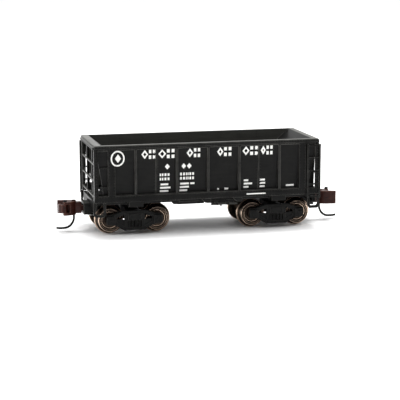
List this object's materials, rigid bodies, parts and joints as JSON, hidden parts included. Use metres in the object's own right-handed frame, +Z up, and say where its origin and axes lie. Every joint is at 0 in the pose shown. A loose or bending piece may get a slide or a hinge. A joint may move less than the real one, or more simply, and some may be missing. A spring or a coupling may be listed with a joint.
{
  "type": "model hopper car",
  "caption": "Small-scale model ore hopper car: ribbed open-top body with sloped ends, two swivelling four-wheel trucks, and sprung knuckle couplers.",
  "frame": {"origin": "on the ground plane of the wheel flanges, under the middle of the car (bottom centre of the whole object)", "axes": "+X along the car towards the end with the hand-brake wheel, +Y across, +Z up"},
  "size_m": [0.0646, 0.0196, 0.0202],
  "materials": {
    "body_plastic": "semi-matt black styrene, moulded",
    "frame_plastic": "matt black acetal",
    "coupler_plastic": "dark reddish-brown acetal",
    "wheel_metal": "turned metal, chemically blackened with bronze showing on the edges",
    "bronze": "blackened bronze",
    "steel": "plain or blackened steel",
    "zinc": "rough cast zinc alloy"
  },
  "bodies": {
    "car": {"body_shell": "body_plastic", "underframe": "body_plastic", "ladder_left": "body_plastic", "ladder_right": "body_plastic", "stirrup_left_near": "body_plastic", "stirrup_left_far": "body_plastic", "stirrup_right_near": "body_plastic", "stirrup_right_far": "body_plastic", "door_housing_near": "frame_plastic", "door_shaft_near": "body_plastic", "door_housing_far": "frame_plastic", "door_shaft_far": "body_plastic", "ballast_weight_left": "zinc", "body_screw_left": "steel", "ballast_weight_right": "zinc", "body_screw_right": "steel", "air_reservoir": "body_plastic", "brake_cylinder": "body_plastic", "brake_staff": "body_plastic", "brake_wheel": "body_plastic", "coupler_box_left": "body_plastic", "coupler_box_lid_left": "body_plastic", "coupler_screw_left": "steel", "centring_spring_left": "bronze", "kingpin_left": "frame_plastic", "coupler_box_right": "body_plastic", "coupler_box_lid_right": "body_plastic", "coupler_screw_right": "steel", "centring_spring_right": "bronze", "kingpin_right": "frame_plastic"},
    "truck_left": {"truck_frame_left": "frame_plastic"},
    "wheelset_left_inner": {"axle_left_inner": "bronze", "axle_bush_left_inner": "frame_plastic", "wheel_near_left_inner": "wheel_metal", "wheel_far_left_inner": "wheel_metal"},
    "wheelset_left_outer": {"axle_left_outer": "bronze", "axle_bush_left_outer": "frame_plastic", "wheel_near_left_outer": "wheel_metal", "wheel_far_left_outer": "wheel_metal"},
    "coupler_left": {"coupler_head_left": "coupler_plastic", "trip_pin_left": "steel", "knuckle_pin_left": "frame_plastic", "knuckle_spring_left": "bronze"},
    "knuckle_body_left": {"knuckle_left": "coupler_plastic"},
    "truck_right": {"truck_frame_right": "frame_plastic"},
    "wheelset_right_inner": {"axle_right_inner": "bronze", "axle_bush_right_inner": "frame_plastic", "wheel_near_right_inner": "wheel_metal", "wheel_far_right_inner": "wheel_metal"},
    "wheelset_right_outer": {"axle_right_outer": "bronze", "axle_bush_right_outer": "frame_plastic", "wheel_near_right_outer": "wheel_metal", "wheel_far_right_outer": "wheel_metal"},
    "coupler_right": {"coupler_head_right": "coupler_plastic", "trip_pin_right": "steel", "knuckle_pin_right": "frame_plastic", "knuckle_spring_right": "bronze"},
    "knuckle_body_right": {"knuckle_right": "coupler_plastic"}
  },
  "joints": [
    {"name": "truck_swivel_left", "type": "hinge", "parent": "car", "child": "truck_left", "pos_m": [-0.01605, 0, 0.0065], "axis": [0, 0, 1], "range_deg": [-7, 7]},
    {"name": "axle_turn_left_inner", "type": "hinge", "parent": "truck_left", "child": "wheelset_left_inner", "pos_m": [-0.01082, 0, 0.00322], "axis": [0, 1, 0], "continuous": true},
    {"name": "axle_turn_left_outer", "type": "hinge", "parent": "truck_left", "child": "wheelset_left_outer", "pos_m": [-0.02127, 0, 0.00322], "axis": [0, 1, 0], "continuous": true},
    {"name": "coupler_swing_left", "type": "hinge", "parent": "car", "child": "coupler_left", "pos_m": [-0.0247, 0, 0.0052], "axis": [0, 0, 1], "range_deg": [-10, 10], "stiffness_Nm_per_rad": 0.0001},
    {"name": "knuckle_turn_left", "type": "hinge", "parent": "coupler_left", "child": "knuckle_body_left", "pos_m": [-0.03045, -0.0013, 0.0052], "axis": [0, 0, 1], "range_deg": [0, 25], "stiffness_Nm_per_rad": 0.00002},
    {"name": "truck_swivel_right", "type": "hinge", "parent": "car", "child": "truck_right", "pos_m": [0.01605, 0, 0.0065], "axis": [0, 0, 1], "range_deg": [-7, 7]},
    {"name": "axle_turn_right_inner", "type": "hinge", "parent": "truck_right", "child": "wheelset_right_inner", "pos_m": [0.01082, 0, 0.00322], "axis": [0, 1, 0], "continuous": true},
    {"name": "axle_turn_right_outer", "type": "hinge", "parent": "truck_right", "child": "wheelset_right_outer", "pos_m": [0.02127, 0, 0.00322], "axis": [0, 1, 0], "continuous": true},
    {"name": "coupler_swing_right", "type": "hinge", "parent": "car", "child": "coupler_right", "pos_m": [0.0247, 0, 0.0052], "axis": [0, 0, 1], "range_deg": [-10, 10], "stiffness_Nm_per_rad": 0.0001},
    {"name": "knuckle_turn_right", "type": "hinge", "parent": "coupler_right", "child": "knuckle_body_right", "pos_m": [0.03045, 0.0013, 0.0052], "axis": [0, 0, 1], "range_deg": [0, 25], "stiffness_Nm_per_rad": 0.00002}
  ]
}
